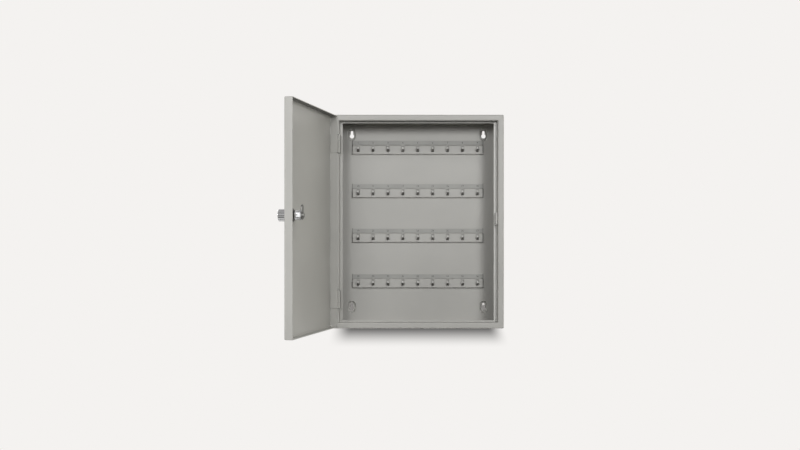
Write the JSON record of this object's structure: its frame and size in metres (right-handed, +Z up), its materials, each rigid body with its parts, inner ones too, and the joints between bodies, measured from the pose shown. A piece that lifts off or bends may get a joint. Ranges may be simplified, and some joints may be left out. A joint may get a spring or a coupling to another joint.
{
  "type": "key cabinet",
  "caption": "Wall-hung steel key cabinet: a shallow box with rows of numbered hooks behind a hinged door that a turning knob lock holds shut.",
  "frame": {"origin": "centre of the wall plane, which is the plane of the cabinet's rear rim and of its four keyhole pads", "axes": "+Y points into the wall, -Y is the way the cabinet's front faces, +X is to the right for someone who faces the cabinet, +Z is up; the door is stored open, as in the picture"},
  "size_m": [0.2965, 0.2941, 0.3],
  "materials": {
    "grey_paint": "light warm grey powder paint, satin",
    "label_strip": "matt grey plastic strip with small plain numbers",
    "zinc_plate": "dull zinc plate",
    "chrome": "bright chrome plate"
  },
  "bodies": {
    "cabinet": {"body_shell": "grey_paint", "back_panel": "grey_paint", "hook_bar_1": "grey_paint", "hook_bar_2": "grey_paint", "hook_bar_3": "grey_paint", "hook_bar_4": "grey_paint", "number_strip_1": "label_strip", "number_strip_2": "label_strip", "number_strip_3": "label_strip", "number_strip_4": "label_strip", "strike": "grey_paint", "upper_hinge_body_leaf": "grey_paint", "lower_hinge_body_leaf": "grey_paint", "upper_hinge_pin": "zinc_plate", "lower_hinge_pin": "zinc_plate"},
    "door": {"door_pan": "grey_paint", "upper_hinge_door_leaf": "grey_paint", "lower_hinge_door_leaf": "grey_paint", "lock_housing": "chrome", "lock_washer": "zinc_plate", "lock_nut": "zinc_plate"},
    "knob": {"knob": "chrome", "cam": "zinc_plate", "cam_screw": "zinc_plate"},
    "plug": {"key_plug": "chrome"}
  },
  "joints": [
    {"name": "door_swing", "type": "hinge", "parent": "cabinet", "child": "door", "pos_m": [-0.1115, -0.06875, 0], "axis": [0, 0, 1], "range_deg": [0, 100.8]},
    {"name": "knob_turn", "type": "hinge", "parent": "door", "child": "knob", "pos_m": [-0.16289, -0.27171, 0.0041], "axis": [0.9823, -0.1874, 0], "range_deg": [0, 90]},
    {"name": "plug_turn", "type": "hinge", "parent": "knob", "child": "plug", "pos_m": [-0.16289, -0.27171, 0.0041], "axis": [0.9823, -0.1874, 0], "range_deg": [0, 90]}
  ]
}
